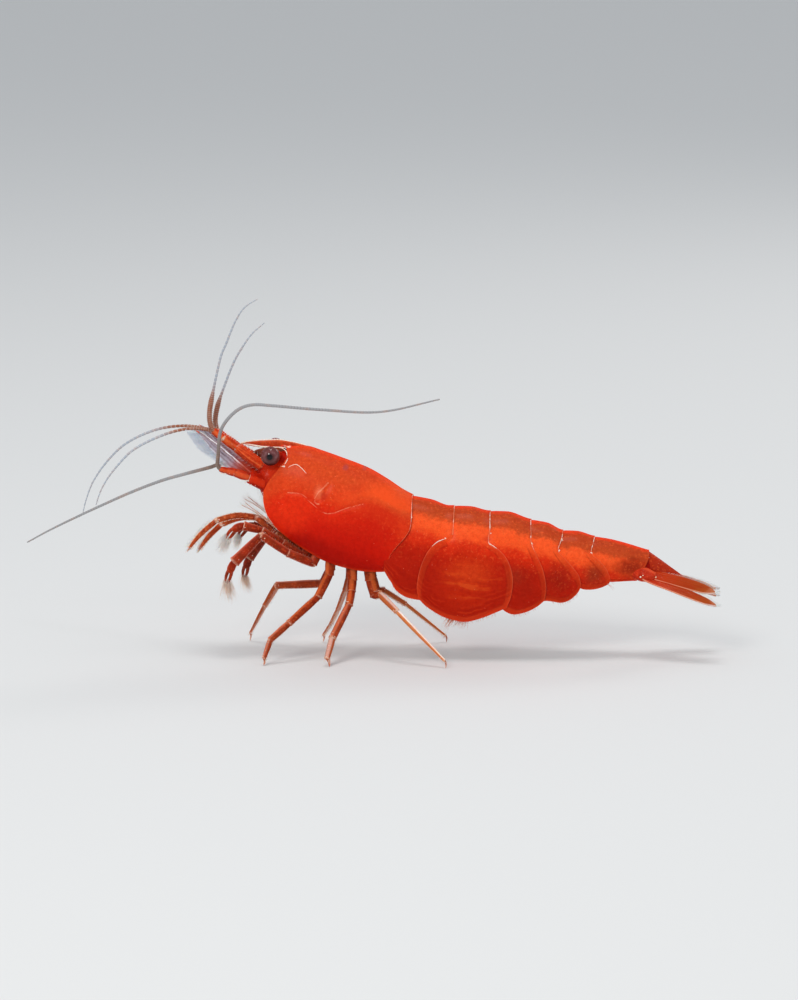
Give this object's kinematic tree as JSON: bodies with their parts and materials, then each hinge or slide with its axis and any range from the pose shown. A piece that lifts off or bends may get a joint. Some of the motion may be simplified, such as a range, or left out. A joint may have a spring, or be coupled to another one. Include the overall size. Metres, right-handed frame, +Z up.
{
  "type": "red cherry shrimp",
  "caption": "Small red freshwater shrimp in a standing pose: long feelers, toothed rostrum, ringed abdomen, slender legs and a fanned tail. Still model, one rigid body.",
  "frame": {"origin": "centre of the whole shrimp's box, on the floor it stands on", "axes": "+X from the head towards the tail, +Y towards the shrimp's right side, +Z up"},
  "size_m": [0.0428, 0.0196, 0.0216],
  "materials": {
    "shell": "wet translucent red shell plates",
    "limbs": "translucent dark red with orange and pale joints",
    "feelers": "fine pale grey beads with brown-red roots",
    "scales": "pale violet-grey blade with a white bristle edge",
    "eyes": "glossy dark brown"
  },
  "bodies": {
    "root": {"carapace": "shell", "rostrum": "shell", "face": "shell", "abdomen_segment_1": "shell", "abdomen_segment_2": "shell", "abdomen_segment_3": "shell", "abdomen_segment_4": "shell", "abdomen_segment_5": "shell", "abdomen_segment_6": "shell", "telson": "shell", "uropod_base_left": "shell", "uropod_base_right": "shell", "uropod_inner_left": "shell", "uropod_inner_right": "shell", "uropod_outer_left": "shell", "uropod_outer_right": "shell", "thorax": "limbs", "eyestalk_left": "limbs", "eyestalk_right": "limbs", "antennule_left": "limbs", "antennule_right": "limbs", "antenna_base_left": "limbs", "antenna_base_right": "limbs", "maxilliped_left": "limbs", "maxilliped_right": "limbs", "leg_1_left": "limbs", "leg_1_right": "limbs", "leg_2_left": "limbs", "leg_2_right": "limbs", "leg_3_left": "limbs", "leg_3_right": "limbs", "leg_4_left": "limbs", "leg_4_right": "limbs", "leg_5_left": "limbs", "leg_5_right": "limbs", "swimmeret_1_left": "limbs", "swimmeret_1_right": "limbs", "swimmeret_2_left": "limbs", "swimmeret_2_right": "limbs", "swimmeret_3_left": "limbs", "swimmeret_3_right": "limbs", "swimmeret_4_left": "limbs", "swimmeret_4_right": "limbs", "swimmeret_5_left": "limbs", "swimmeret_5_right": "limbs", "antennule_outer_left": "feelers", "antennule_outer_right": "feelers", "antennule_inner_left": "feelers", "antennule_inner_right": "feelers", "antenna_left": "feelers", "antenna_right": "feelers", "antennal_scale_left": "scales", "antennal_scale_right": "scales", "eye_left": "eyes", "eye_right": "eyes"}
  },
  "joints": []
}
